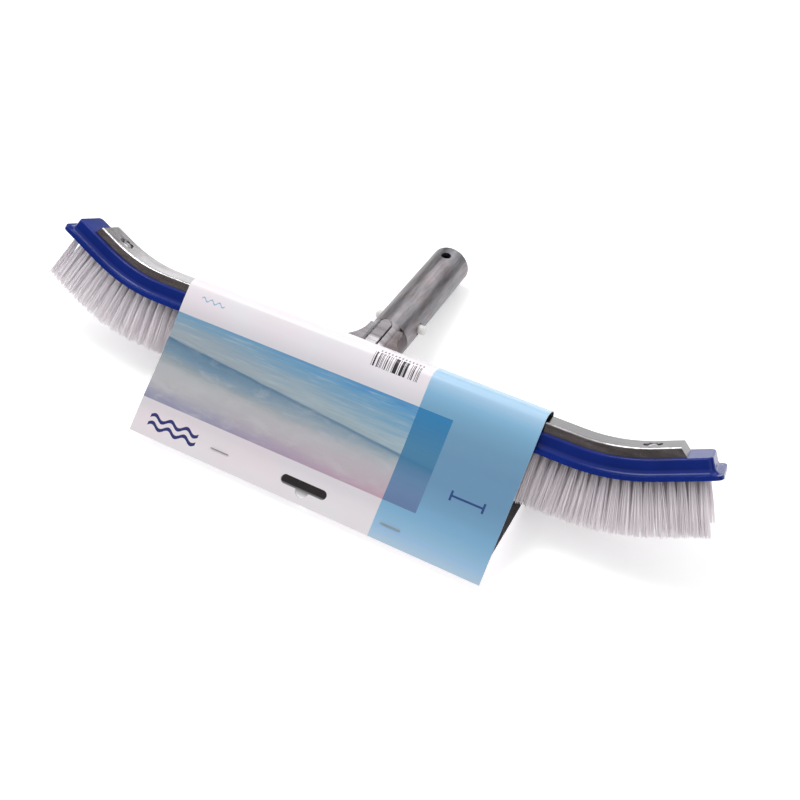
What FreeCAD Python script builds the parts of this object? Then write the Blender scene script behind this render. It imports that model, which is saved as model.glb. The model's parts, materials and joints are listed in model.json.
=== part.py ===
import FreeCAD, Part
import math
import os

# Pool wall brush, 450 mm: a moulded brush block with four rows of nylon tufts,
# riveted to a cast aluminium back whose tubular handle takes a telescopic pole,
# a sprung V-clip with two buttons in the handle, and the folded card sleeve that
# the brush is sold in.  Millimetres.
#
# Every piece is drawn in the brush frame: X along the brush, Z from the tuft tips
# towards the aluminium back, Y towards the handle side, z = 0 on the tuft side of
# the block's lip.  The head is straight in the middle and bends up at both ends.
# The assembly is then turned about X into the way it lies on a table: on the back
# row of tufts, the sleeve round them and the end of the handle.

V = FreeCAD.Vector
doc = FreeCAD.newDocument("PoolWallBrush")

# ------------------------------------------------------------------ dimensions
sheet = doc.addObject("Spreadsheet::Sheet", "Dims")
DIMS = [
    ("straight_half", 143.0),   # half length of the straight middle
    ("bend_radius", 122.0),     # radius of the two upward bends, on z = 0
    ("bend_deg", 24.0),         # angle of each bend
    ("block_end", 229.56),      # path length from the middle to the lip's end
    ("lip_width", 31.0),
    ("lip_thick", 2.4),
    ("lip_end", 4.0),           # how far the lip stands out past the block's end
    ("lip_corner", 5.0),
    ("block_width", 23.4),
    ("block_height", 11.8),
    ("side_fillet", 3.4),       # concave flare from the block's side to the lip
    ("top_fillet", 1.2),
    ("bar_width", 18.4),
    ("bar_height", 6.0),
    ("bar_end_top", 207.7),
    ("bar_end_foot", 210.7),
    ("bar_fillet", 1.1),
    ("recess_length", 11.0),    # oval seat of each rivet head
    ("recess_width", 7.4),
    ("recess_depth", 1.3),
    ("rivet_dia", 3.6),
    ("rivet_head", 6.2),
    ("rivet_head_height", 1.1),
    ("rivet_hole", 3.8),
    ("rivet_one", 35.0),
    ("rivet_two", 112.0),
    ("rivet_three", 191.0),
    ("tuft_pitch", 5.9),
    ("row_inner", 3.1),
    ("row_outer", 9.1),
    ("tuft_root_dia", 3.8),
    ("tuft_hole_dia", 3.9),
    ("tuft_hole_depth", 7.5),
    ("tuft_free", 32.4),        # free length below the lip
    ("tuft_tip_dia", 5.6),
    ("tip_inner", 4.5),
    ("tip_outer", 13.6),
    ("anchor_length", 3.3),
    ("anchor_height", 1.6),
    ("anchor_thick", 0.4),
    ("handle_dia", 28.0),
    ("handle_bore", 22.0),
    ("handle_length", 133.5),
    ("handle_tilt", 27.0),
    ("handle_y", 5.5),
    ("handle_z", 2.5),
    ("bore_start", 30.0),
    ("root_clear", 16.6),       # y of the flat face behind the block
    ("flare_half", 25.0),
    ("flare_low", 5.2),
    ("flare_high", 11.4),
    ("flare_end", 33.0),
    ("tongue_width", 8.2),
    ("tongue_end", 35.4),
    ("tongue_rise", 1.7),
    ("neck_end", 36.5),
    ("plug_dia", 21.9),
    ("plug_from", 128.4),
    ("plug_to", 132.7),
    ("end_hole_dia", 7.0),
    ("end_hole_at", 122.5),
    ("button_at", 54.5),
    ("button_shift", 0.45),
    ("button_dia", 6.4),
    ("button_hole", 8.4),
    ("button_out", 18.9),
    ("leaf_out", 9.5),
    ("leaf_thick", 1.5),
    ("leaf_width", 8.6),
    ("leaf_start", 49.0),
    ("bend_at", 110.0),
    ("bend_out", 4.0),
    ("sleeve_half", 123.0),
    ("card_thick", 0.6),
    ("slot_length", 32.0),
    ("slot_height", 6.0),
    ("slot_up", 11.2),
    ("slot_x", 1.9),
    ("slot_bump", 4.6),
    ("staple_width", 12.8),
    ("staple_wire", 0.7),
    ("staple_up", 10.3),
    ("staple_left_x", -58.4),
    ("staple_right_x", 61.4),
    ("slot_play", 5.5),         # play of the sleeve's cut-out round the handle neck
    ("lying_deg", 37.0),
]
for i, (name, value) in enumerate(DIMS, start=1):
    sheet.set("A%d" % i, name)
    sheet.set("B%d" % i, repr(value))
    sheet.setAlias("B%d" % i, name)
doc.recompute()
D = {name: float(sheet.get(name)) for name, _ in DIMS}

a = D["straight_half"]
R = D["bend_radius"]
phi = math.radians(D["bend_deg"])
S = D["block_end"]
tilt = math.radians(D["handle_tilt"])
block_h = D["block_height"]
bar_h = block_h + D["bar_height"]


def on_path(s, h=0.0, y=0.0):
    """Point at path length s, height h above the lip's tuft side, and y."""
    q = abs(s)
    if q <= a:
        x, z, th = q, 0.0, 0.0
    elif q <= a + R * phi:
        th = (q - a) / R
        x, z = a + R * math.sin(th), R * (1 - math.cos(th))
    else:
        th = phi
        r = q - a - R * phi
        x, z = a + R * math.sin(phi) + r * math.cos(phi), R * (1 - math.cos(phi)) + r * math.sin(phi)
    x, z = x - h * math.sin(th), z + h * math.cos(th)
    return V(math.copysign(x, s) if s else 0.0, y, z)


def lean(s):
    """Angle of the head at path length s: positive bends the right end up."""
    q = min(max(abs(s) - a, 0.0) / R, phi)
    return math.copysign(q, s) if s else 0.0


def plane_of(body, role):
    for feature in body.Origin.OriginFeatures:
        if feature.Role == role:
            return feature
    raise RuntimeError("no plane " + role)


def new_body(label):
    body = doc.addObject("PartDesign::Body", label)
    body.Label = label
    return body


def new_sketch(body, name, role, offset=None):
    sk = body.newObject("Sketcher::SketchObject", name)
    sk.AttachmentSupport = [(plane_of(body, role), "")]
    sk.MapMode = "FlatFace"
    if offset is not None:
        sk.AttachmentOffset = offset
    return sk


def closed_lines(sk, pts):
    n = len(pts)
    for i in range(n):
        p, q = pts[i], pts[(i + 1) % n]
        sk.addGeometry(Part.LineSegment(V(p[0], p[1], 0), V(q[0], q[1], 0)), False)


def band_outline(sk, h0, h1, end0, end1):
    """Side outline between heights h0 and h1, with path-length ends end0 and end1."""
    def p(s, h):
        v = on_path(s, h)
        return V(v.x, v.z, 0)
    sb = a + R * phi
    sm = a + R * phi / 2
    g = []
    g.append(Part.LineSegment(p(-end0, h0), p(-sb, h0)))
    g.append(Part.Arc(p(-sb, h0), p(-sm, h0), p(-a, h0)))
    g.append(Part.LineSegment(p(-a, h0), p(a, h0)))
    g.append(Part.Arc(p(a, h0), p(sm, h0), p(sb, h0)))
    g.append(Part.LineSegment(p(sb, h0), p(end0, h0)))
    g.append(Part.LineSegment(p(end0, h0), p(end1, h1)))
    g.append(Part.LineSegment(p(end1, h1), p(sb, h1)))
    g.append(Part.Arc(p(sb, h1), p(sm, h1), p(a, h1)))
    g.append(Part.LineSegment(p(a, h1), p(-a, h1)))
    g.append(Part.Arc(p(-a, h1), p(-sm, h1), p(-sb, h1)))
    g.append(Part.LineSegment(p(-sb, h1), p(-end1, h1)))
    g.append(Part.LineSegment(p(-end1, h1), p(-end0, h0)))
    for e in g:
        sk.addGeometry(e, False)


def symmetric_pad(body, sk, name, expr):
    pad = body.newObject("PartDesign::Pad", name)
    pad.Profile = sk
    if "SideType" in pad.PropertiesList:
        pad.SideType = "Symmetric"
    else:
        pad.Midplane = True
    pad.setExpression("Length", expr)
    return pad


def one_pad(body, sk, name, expr, reverse=False):
    pad = body.newObject("PartDesign::Pad", name)
    pad.Profile = sk
    pad.Reversed = reverse
    pad.setExpression("Length", expr)
    return pad


def edge_names(shape, test):
    return ["Edge%d" % i for i, e in enumerate(shape.Edges, start=1) if test(e)]


def fillet(body, base, name, names, expr):
    f = body.newObject("PartDesign::Fillet", name)
    f.Base = (base, names)
    f.setExpression("Radius", expr)
    doc.recompute()
    return f


def ends_of(e):
    return e.Vertexes[0].Point, e.Vertexes[-1].Point


# ------------------------------------------------------------ moulded brush block
block_body = new_body("block_blank")
sk = new_sketch(block_body, "LipSide", "XZ_Plane")
band_outline(sk, 0.0, D["lip_thick"], S, S)
lip_pad = symmetric_pad(block_body, sk, "Lip", "Dims.lip_width")
doc.recompute()
upright = edge_names(lip_pad.Shape, lambda e: abs(e.Length - D["lip_thick"]) < 1e-3
                     and abs(e.Vertexes[0].Point.y - e.Vertexes[-1].Point.y) < 1e-6)
lip_round = fillet(block_body, lip_pad, "LipCorners", upright, "Dims.lip_corner")
sk = new_sketch(block_body, "BlockSide", "XZ_Plane")
band_outline(sk, D["lip_thick"] - 0.4, block_h, S - D["lip_end"], S - D["lip_end"] - 1.2)
top_pad = symmetric_pad(block_body, sk, "Upper", "Dims.block_width")
doc.recompute()


def height_of(p):
    """Height above z = 0 measured square to the head."""
    x = abs(p.x)
    if x <= a:
        return p.z
    rad = math.hypot(x - a, p.z - R)
    ang = math.atan2(x - a, R - p.z)
    if ang <= phi:
        return R - rad
    bx, bz = a + R * math.sin(phi), R * (1 - math.cos(phi))
    return -(x - bx) * math.sin(phi) + (p.z - bz) * math.cos(phi)


def path_of(p):
    """Unsigned path length of a point."""
    x = abs(p.x)
    if x <= a:
        return x
    ang = math.atan2(x - a, R - p.z)
    if ang <= phi:
        return a + R * ang
    bx, bz = a + R * math.sin(phi), R * (1 - math.cos(phi))
    return a + R * phi + (x - bx) * math.cos(phi) + (p.z - bz) * math.sin(phi)


half_w = D["block_width"] / 2


def at_height(e, hh, tol=0.05):
    return all(abs(height_of(v.Point) - hh) < tol for v in e.Vertexes)


corners = edge_names(top_pad.Shape, lambda e: len(e.Vertexes) == 2
                     and abs(height_of(ends_of(e)[0]) - height_of(ends_of(e)[1])) > 5.0)
corner_round = fillet(block_body, top_pad, "BlockCorners", corners, "Dims.side_fillet")
junction = edge_names(corner_round.Shape, lambda e: at_height(e, D["lip_thick"])
                      and all(abs(v.Point.y) < half_w + 0.05 and path_of(v.Point) < S - D["lip_end"] + 1.0
                              for v in e.Vertexes))
flare_fillet = fillet(block_body, corner_round, "SideFlare", junction, "Dims.side_fillet")
rim_edges = edge_names(flare_fillet.Shape, lambda e: at_height(e, block_h))
top_round = fillet(block_body, flare_fillet, "TopRound", rim_edges, "Dims.top_fillet")
doc.recompute()

# The rows of tufts: two outer and two inner, the inner ones half a pitch across.
pitch = D["tuft_pitch"]
rivet_at = [-D["rivet_three"], -D["rivet_two"], -D["rivet_one"],
            D["rivet_one"], D["rivet_two"], D["rivet_three"]]
outer_s = [k * pitch for k in range(-37, 38)]
inner_s = [(k + 0.5) * pitch for k in range(-37, 37)]
inner_s = [s for s in inner_s if min(abs(s - r) for r in rivet_at) > 4.3]
ROWS = [
    ("front_outer", outer_s, -D["row_outer"], -D["tip_outer"]),
    ("front_inner", inner_s, -D["row_inner"], -D["tip_inner"]),
    ("back_inner", inner_s, D["row_inner"], D["tip_inner"]),
    ("back_outer", outer_s, D["row_outer"], D["tip_outer"]),
]


def square_to_head(shape, s, y=0.0):
    """Turn a shape built on the local axes so that its Z is square to the head at s."""
    shape.rotate(V(0, 0, 0), V(0, 1, 0), -math.degrees(lean(s)))
    shape.translate(on_path(s, 0.0, y))
    return shape


def tuft_axis(y_root, y_tip):
    """Unit direction of a tuft, from its tip towards its root, with z square to the head."""
    v = V(0, y_root - y_tip, D["tuft_free"])
    v.normalize()
    return v


def tuft_hole(s, y_root, y_tip):
    d = tuft_axis(y_root, y_tip)
    c = Part.makeCylinder(D["tuft_hole_dia"] / 2, D["tuft_hole_depth"] + 1.0, d * -1.0, d)
    return square_to_head(c, s, y_root)


def tuft(s, y_root, y_tip):
    """A spreading bundle: its root in the hole, its tips splayed, as one cone."""
    d = tuft_axis(y_root, y_tip)
    rr, rt = D["tuft_root_dia"] / 2, D["tuft_tip_dia"] / 2
    free = D["tuft_free"]
    seated = D["tuft_hole_depth"] - D["anchor_height"] - 0.25
    r_top = rr - (rt - rr) * seated / free
    return square_to_head(Part.makeCone(rt, r_top, free + seated, d * -free, d), s, y_root)


holes = Part.makeCompound([tuft_hole(s, y0, y1) for _, ss, y0, y1 in ROWS for s in ss])
tuft_holes = doc.addObject("Part::Feature", "TuftHoles")
tuft_holes.Shape = holes
rivet_holes = doc.addObject("Part::Feature", "RivetHoles")
rivet_holes.Shape = Part.makeCompound([
    square_to_head(Part.makeCylinder(D["rivet_hole"] / 2, 30, V(0, 0, -5), V(0, 0, 1)), s) for s in rivet_at])
drilled = doc.addObject("Part::Cut", "BlockDrilled")
drilled.Base = block_body
drilled.Tool = tuft_holes
block = doc.addObject("Part::Cut", "brush_block")
block.Base = drilled
block.Tool = rivet_holes
block.Label = "brush_block"
doc.recompute()
print("block blank", round(block_body.Shape.Volume), "drilled", round(block.Shape.Volume))

# --------------------------------------------------------------- cast aluminium back
bar_body = new_body("bar_blank")
sk = new_sketch(bar_body, "BarSide", "XZ_Plane")
band_outline(sk, block_h, bar_h, D["bar_end_foot"], D["bar_end_top"])
bar_pad = symmetric_pad(bar_body, sk, "Bar", "Dims.bar_width")
doc.recompute()
bar_edges = edge_names(bar_pad.Shape, lambda e: at_height(e, bar_h)
                       and abs(abs(e.CenterOfMass.y) - D["bar_width"] / 2) < 0.01)
bar_round = fillet(bar_body, bar_pad, "BarTopRound", bar_edges, "Dims.bar_fillet")
doc.recompute()

# Oval seats for the rivet heads.
seats = []
for s in rivet_at:
    w, l = D["recess_width"], D["recess_length"]
    z0 = bar_h - D["recess_depth"]
    cyl = [Part.makeCylinder(w / 2, 6, V(dx, 0, z0), V(0, 0, 1)) for dx in (-(l - w) / 2, (l - w) / 2)]
    mid = Part.makeBox(l - w, w, 6, V(-(l - w) / 2, -w / 2, z0))
    seats.append(square_to_head(mid.fuse(cyl), s))
seat_cut = doc.addObject("Part::Feature", "RivetSeats")
seat_cut.Shape = Part.makeCompound(seats)

# Handle frame: Z along the handle, -Y its front, X across.
base = V(0, D["handle_y"], D["handle_z"])
HP = FreeCAD.Placement(base, FreeCAD.Rotation(V(1, 0, 0), D["handle_tilt"] - 90.0))

tube_body = new_body("tube_blank")
sk = new_sketch(tube_body, "TubeSection", "XZ_Plane")
r_h, r_b, l_h = D["handle_dia"] / 2, D["handle_bore"] / 2, D["handle_length"]
cut45 = math.sqrt(0.5)
sk.addGeometry(Part.LineSegment(V(0, 0, 0), V(r_h, 0, 0)), False)
sk.addGeometry(Part.LineSegment(V(r_h, 0, 0), V(r_h, l_h - 1.1, 0)), False)
sk.addGeometry(Part.Arc(V(r_h, l_h - 1.1, 0), V(r_h - 1.1 + 1.1 * cut45, l_h - 1.1 + 1.1 * cut45, 0),
                        V(r_h - 1.1, l_h, 0)), False)
sk.addGeometry(Part.LineSegment(V(r_h - 1.1, l_h, 0), V(r_b + 0.6, l_h, 0)), False)
sk.addGeometry(Part.Arc(V(r_b + 0.6, l_h, 0), V(r_b + 0.6 - 0.6 * cut45, l_h - 0.6 + 0.6 * cut45, 0),
                        V(r_b, l_h - 0.6, 0)), False)
sk.addGeometry(Part.LineSegment(V(r_b, l_h - 0.6, 0), V(r_b, D["bore_start"], 0)), False)
sk.addGeometry(Part.LineSegment(V(r_b, D["bore_start"], 0), V(0, D["bore_start"], 0)), False)
sk.addGeometry(Part.LineSegment(V(0, D["bore_start"], 0), V(0, 0, 0)), False)
turn = tube_body.newObject("PartDesign::Revolution", "Tube")
turn.Profile = sk
turn.ReferenceAxis = (sk, ["V_Axis"])
turn.Angle = 360.0
doc.recompute()
tube_body.Placement = HP

# Flared web either side of the handle, wide at the bar and drawn in to the handle.
web_body = new_body("web_blank")
sk = new_sketch(web_body, "WebPlan", "XZ_Plane", FreeCAD.Placement(V(0, 0, D["flare_low"]), FreeCAD.Rotation()))
f, e_t = D["flare_half"], D["flare_end"]
pts = [V(-f, -3, 0), V(f, -3, 0), V(f, 9.5, 0), V(r_h - 2.4, e_t, 0), V(-(r_h - 2.4), e_t, 0), V(-f, 9.5, 0)]
sk.addGeometry(Part.LineSegment(pts[0], pts[1]), False)
sk.addGeometry(Part.LineSegment(pts[1], pts[2]), False)
sk.addGeometry(Part.Arc(pts[2], V(r_h + 1.6, 17.5, 0), pts[3]), False)
sk.addGeometry(Part.LineSegment(pts[3], pts[4]), False)
sk.addGeometry(Part.Arc(pts[4], V(-(r_h + 1.6), 17.5, 0), pts[5]), False)
sk.addGeometry(Part.LineSegment(pts[5], pts[0]), False)
web_pad = one_pad(web_body, sk, "Web", "Dims.flare_high - Dims.flare_low")
doc.recompute()
web_body.Placement = HP

# Raised tongue along the front of the handle, rounded at its end.
tongue_body = new_body("tongue_blank")
sk = new_sketch(tongue_body, "TonguePlan", "XZ_Plane")
tw, te = D["tongue_width"] / 2, D["tongue_end"]
sk.addGeometry(Part.LineSegment(V(-tw, 4, 0), V(tw, 4, 0)), False)
sk.addGeometry(Part.LineSegment(V(tw, 4, 0), V(tw, te - tw, 0)), False)
sk.addGeometry(Part.Arc(V(tw, te - tw, 0), V(0, te, 0), V(-tw, te - tw, 0)), False)
sk.addGeometry(Part.LineSegment(V(-tw, te - tw, 0), V(-tw, 4, 0)), False)
tongue_pad = one_pad(tongue_body, sk, "Tongue", "Dims.handle_dia / 2 + Dims.tongue_rise")
doc.recompute()
crown = D["handle_dia"] / 2 + D["tongue_rise"]
tongue_edges = edge_names(tongue_pad.Shape, lambda e: all(
    abs(v.Point.y + crown) < 1e-3 for v in e.Vertexes) and e.CenterOfMass.z > 5)
fillet(tongue_body, tongue_pad, "TongueRound", tongue_edges, "0.7")
tongue_body.Placement = HP
doc.recompute()

# The handle's root stops short of the block: nothing of it is below the block's top
# in front of the flat face, and the back bar sits on the block's top.
neck = doc.addObject("Part::MultiFuse", "NeckFuse")
neck.Shapes = [tube_body, web_body, tongue_body]
clear = doc.addObject("Part::Box", "BlockSpace")
clear.Length, clear.Width, clear.Height = 120, 80, 80
clear.setExpression("Placement.Base.x", "-60")
clear.setExpression("Placement.Base.y", "Dims.root_clear - 80")
clear.setExpression("Placement.Base.z", "Dims.block_height - 80")
neck_cut = doc.addObject("Part::Cut", "NeckTrimmed")
neck_cut.Base = neck
neck_cut.Tool = clear

bore = doc.addObject("Part::Cylinder", "HandleBore")
bore.setExpression("Radius", "Dims.handle_bore / 2")
bore.setExpression("Height", "Dims.handle_length - Dims.bore_start - 1")
bore.Placement = HP.multiply(FreeCAD.Placement(V(0, 0, D["bore_start"]), FreeCAD.Rotation()))
button_way = doc.addObject("Part::Cylinder", "ButtonHoles")
button_way.setExpression("Radius", "Dims.button_hole / 2")
button_way.Height = 60
button_way.Placement = HP.multiply(FreeCAD.Placement(V(-30, 0, D["button_at"]), FreeCAD.Rotation(V(0, 1, 0), 90)))
end_way = doc.addObject("Part::Cylinder", "EndHole")
end_way.setExpression("Radius", "Dims.end_hole_dia / 2")
end_way.Height = 60
end_way.Placement = HP.multiply(FreeCAD.Placement(V(0, 30, D["end_hole_at"]), FreeCAD.Rotation(V(1, 0, 0), 90)))

raw = doc.addObject("Part::MultiFuse", "BackFuse")
raw.Shapes = [bar_body, neck_cut]
tools = doc.addObject("Part::Feature", "BarTools")
tools.Shape = Part.makeCompound(
    seats + [square_to_head(Part.makeCylinder(D["rivet_hole"] / 2, 30, V(0, 0, -5), V(0, 0, 1)), s) for s in rivet_at])
step_one = doc.addObject("Part::Cut", "BackSeated")
step_one.Base, step_one.Tool = raw, tools
ways = doc.addObject("Part::MultiFuse", "HandleWays")
ways.Shapes = [bore, button_way, end_way]
whole = doc.addObject("Part::Cut", "BackBored")
whole.Base, whole.Tool = step_one, ways

# The back is made as two pieces that meet on a plane square to the handle, just past
# the end of the raised tongue: the bar with the handle's neck, and the handle's tube.
beyond = doc.addObject("Part::Box", "BeyondNeck")
beyond.Length, beyond.Width, beyond.Height = 60, 60, 160
beyond.Placement = HP.multiply(FreeCAD.Placement(V(-30, -30, D["neck_end"]), FreeCAD.Rotation()))
casting = doc.addObject("Part::Cut", "back_casting")
casting.Base, casting.Tool = whole, beyond
casting.Label = "back_casting"
handle = doc.addObject("Part::Common", "handle_tube")
handle.Base, handle.Tool = whole, beyond
handle.Label = "handle_tube"
doc.recompute()

# Plug pressed into the handle's open end, with a shallow dimple in its outer face.
plug_body = new_body("handle_plug")
sk = new_sketch(plug_body, "PlugSection", "XZ_Plane")
r_p, p_0, p_1 = D["plug_dia"] / 2, D["plug_from"], D["plug_to"]
ring = [V(0, p_0, 0), V(r_p - 0.5, p_0, 0), V(r_p, p_0 + 0.5, 0), V(r_p, p_1 - 0.5, 0),
        V(r_p - 0.5, p_1, 0), V(5.0, p_1, 0), V(4.0, p_1 - 0.5, 0), V(0, p_1 - 0.5, 0)]
for c_0, c_1 in zip(ring, ring[1:] + ring[:1]):
    sk.addGeometry(Part.LineSegment(c_0, c_1), False)
turn = plug_body.newObject("PartDesign::Revolution", "Plug")
turn.Profile = sk
turn.ReferenceAxis = (sk, ["V_Axis"])
turn.Angle = 360.0
doc.recompute()
print("plug", round(plug_body.Shape.Volume), plug_body.Shape.isValid())
print("casting", round(casting.Shape.Volume), "solids", len(casting.Shape.Solids),
      "handle", round(handle.Shape.Volume), "solids", len(handle.Shape.Solids))

# ----------------------------------------------------------------------- rivets
RIVET_NAMES = ["rivet_left_end", "rivet_left_middle", "rivet_left_inner",
               "rivet_right_inner", "rivet_right_middle", "rivet_right_end"]
rivets = []
for name, s in zip(RIVET_NAMES, rivet_at):
    body = new_body(name)
    sk = new_sketch(body, "Section_" + name, "XZ_Plane")
    rs, rh = D["rivet_dia"] / 2, D["rivet_head"] / 2
    z_seat = bar_h - D["recess_depth"]
    hh = D["rivet_head_height"]
    q = [V(0, -1.0, 0), V(rh - 0.3, -1.0, 0), V(rh, -0.7, 0), V(rh, 0, 0), V(rs, 0, 0), V(rs, z_seat, 0),
         V(rh, z_seat, 0), V(rh, z_seat + 0.35, 0)]
    for p0, p1 in zip(q[:-1], q[1:]):
        sk.addGeometry(Part.LineSegment(p0, p1), False)
    sk.addGeometry(Part.Arc(q[-1], V(rh * 0.66, z_seat + hh * 0.8, 0), V(0.7, z_seat + hh, 0)), False)
    sk.addGeometry(Part.LineSegment(V(0.7, z_seat + hh, 0), V(0, z_seat + hh, 0)), False)
    sk.addGeometry(Part.LineSegment(V(0, z_seat + hh, 0), q[0]), False)
    rev = body.newObject("PartDesign::Revolution", "Turned_" + name)
    rev.Profile = sk
    rev.ReferenceAxis = (sk, ["V_Axis"])
    rev.Angle = 360.0
    doc.recompute()
    rivets.append((body, FreeCAD.Placement(on_path(s), FreeCAD.Rotation(V(0, 1, 0), -math.degrees(lean(s))))))

# ------------------------------------------------------------------------ V-clip
tb = D["bend_at"]
ro, ri = D["bend_out"], D["bend_out"] - D["leaf_thick"]
lo, li = D["leaf_out"], D["leaf_out"] - D["leaf_thick"]


def clip_arm(name, side):
    body = new_body(name)
    sk = new_sketch(body, "Leaf_" + name, "XZ_Plane")
    outline = [(lo - 0.5, D["leaf_start"]), (lo, D["leaf_start"] + 0.8), (lo, 60.0), (ro, tb - 0.4),
               (ri, tb - 0.4), (li, 59.6), (li, D["leaf_start"])]
    closed_lines(sk, [(side * x, z) for x, z in outline])
    symmetric_pad(body, sk, "LeafPad_" + name, "Dims.leaf_width")
    rb, xo, zc = D["button_dia"] / 2, D["button_out"], D["button_at"] + D["button_shift"]
    sk = new_sketch(body, "Button_" + name, "XZ_Plane", FreeCAD.Placement(V(0, zc, 0), FreeCAD.Rotation()))
    q = [V(side * (li + 0.3), 0, 0), V(side * (li + 0.3), rb, 0), V(side * (xo - 2.6), rb, 0)]
    sk.addGeometry(Part.LineSegment(q[0], q[1]), False)
    sk.addGeometry(Part.LineSegment(q[1], q[2]), False)
    sk.addGeometry(Part.Arc(q[2], V(side * (xo - 0.75), rb * 0.72, 0), V(side * xo, 0.6, 0)), False)
    sk.addGeometry(Part.LineSegment(V(side * xo, 0.6, 0), V(side * xo, 0, 0)), False)
    sk.addGeometry(Part.LineSegment(V(side * xo, 0, 0), q[0]), False)
    rev = body.newObject("PartDesign::Revolution", "ButtonTurn_" + name)
    rev.Profile = sk
    rev.ReferenceAxis = (sk, ["H_Axis"])
    rev.Angle = 360.0
    doc.recompute()
    return body


arm_left = clip_arm("clip_arm_left", -1)
arm_right = clip_arm("clip_arm_right", 1)
clip_bend = new_body("clip_bend")
sk = new_sketch(clip_bend, "BendPlan", "XZ_Plane")
g0 = math.radians(5)


def polar(r, t):
    return V(r * math.cos(t), tb + r * math.sin(t), 0)


sk.addGeometry(Part.Arc(polar(ro, g0), polar(ro, math.pi / 2), polar(ro, math.pi - g0)), False)
sk.addGeometry(Part.LineSegment(polar(ro, math.pi - g0), polar(ri, math.pi - g0)), False)
sk.addGeometry(Part.Arc(polar(ri, math.pi - g0), polar(ri, math.pi / 2), polar(ri, g0)), False)
sk.addGeometry(Part.LineSegment(polar(ri, g0), polar(ro, g0)), False)
symmetric_pad(clip_bend, sk, "BendPad", "Dims.leaf_width")
doc.recompute()

# ------------------------------------------------------------------ tufts, anchors
tuft_nodes = []
for row, ss, y_root, y_tip in ROWS:
    solids = [tuft(s, y_root, y_tip) for s in ss]
    o = doc.addObject("Part::Feature", "tufts_" + row)
    o.Shape = Part.makeCompound(solids)
    o.Label = "tufts_" + row
    tuft_nodes.append(o)
    al, ah, at = D["anchor_length"], D["anchor_height"], D["anchor_thick"]
    z0 = D["tuft_hole_depth"] - ah - 0.08
    slope = tuft_axis(y_root, y_tip)
    drift = slope.y / slope.z * (z0 + ah / 2)
    plates = [square_to_head(Part.makeBox(al, at, ah, V(-al / 2, drift - at / 2, z0)), s, y_root) for s in ss]
    o = doc.addObject("Part::Feature", "anchors_" + row)
    o.Shape = Part.makeCompound(plates)
    o.Label = "anchors_" + row
    tuft_nodes.append(o)

# ------------------------------------------------------------------- card sleeve
th = D["card_thick"]
flap0 = V(0, -45.5, -76.5)
flap_up = V(0, 28.3, 77.0)
flap_up.normalize()
flap_back = V(0, flap_up.z, -flap_up.y)      # square to the flap, towards the back layer
back_gap = th + 0.1
b0 = flap0 + flap_back * back_gap
b1 = flap0 + flap_up * 17.0 + flap_back * back_gap
b2 = flap0 + flap_up * 19.6 + flap_back * (back_gap + 0.9)
middle = [
    (flap0.y, flap0.z), (-31.5, -38.6), (-17.6, -1.2), (-16.3, 2.9), (-13.4, 11.2), (-10.5, 18.6),
    (-8.4, 20.6), (-5.0, 21.8), (-1.0, 22.1), (4.0, 21.6), (8.3, 20.2), (10.6, 17.8),
    (13.6, 10.6), (16.3, 3.0), (16.7, -1.5), (17.4, -16.0), (17.8, -30.8), (17.2, -33.6), (15.6, -35.6),
    (13.2, -36.9), (-12.0, -48.4), (b2.y, b2.z), (b1.y, b1.z), (b0.y, b0.z)]


def offset_line(points, dist):
    out = []
    n = len(points)
    for i, (y, z) in enumerate(points):
        dirs = []
        if i > 0:
            py, pz = points[i - 1]
            l = math.hypot(y - py, z - pz)
            dirs.append(((y - py) / l, (z - pz) / l))
        if i < n - 1:
            ny, nz = points[i + 1]
            l = math.hypot(ny - y, nz - z)
            dirs.append(((ny - y) / l, (nz - z) / l))
        nrm = [(-dz, dy) for dy, dz in dirs]
        my, mz = sum(v[0] for v in nrm), sum(v[1] for v in nrm)
        l = math.hypot(my, mz)
        my, mz = my / l, mz / l
        k = dist / (my * nrm[0][0] + mz * nrm[0][1])
        out.append((y + my * k, z + mz * k))
    return out


sleeve_body = new_body("sleeve_blank")
sk = new_sketch(sleeve_body, "SleeveSection", "YZ_Plane")
closed_lines(sk, offset_line(middle, th / 2) + offset_line(middle, -th / 2)[::-1])
symmetric_pad(sleeve_body, sk, "SleevePad", "2 * Dims.sleeve_half")
doc.recompute()
print("sleeve blank", round(sleeve_body.Shape.Volume), sleeve_body.Shape.isValid(),
      "developed length", round(sum(math.hypot(q[0] - p[0], q[1] - p[1]) for p, q in zip(middle[:-1], middle[1:])), 1))


def flap_prism(points, deep0=-6.0, deep1=8.0):
    """A prism square to the flap, from an outline in (x, up the flap)."""
    w = [flap0 + V(x, 0, 0) + flap_up * u + flap_back * deep0 for x, u in points]
    return Part.Face(Part.makePolygon(w + [w[0]])).extrude(flap_back * (deep1 - deep0))


def flap_rod(x, u, radius, deep0=-6.0, deep1=8.0):
    return Part.makeCylinder(radius, deep1 - deep0, flap0 + V(x, 0, 0) + flap_up * u + flap_back * deep0, flap_back)


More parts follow.
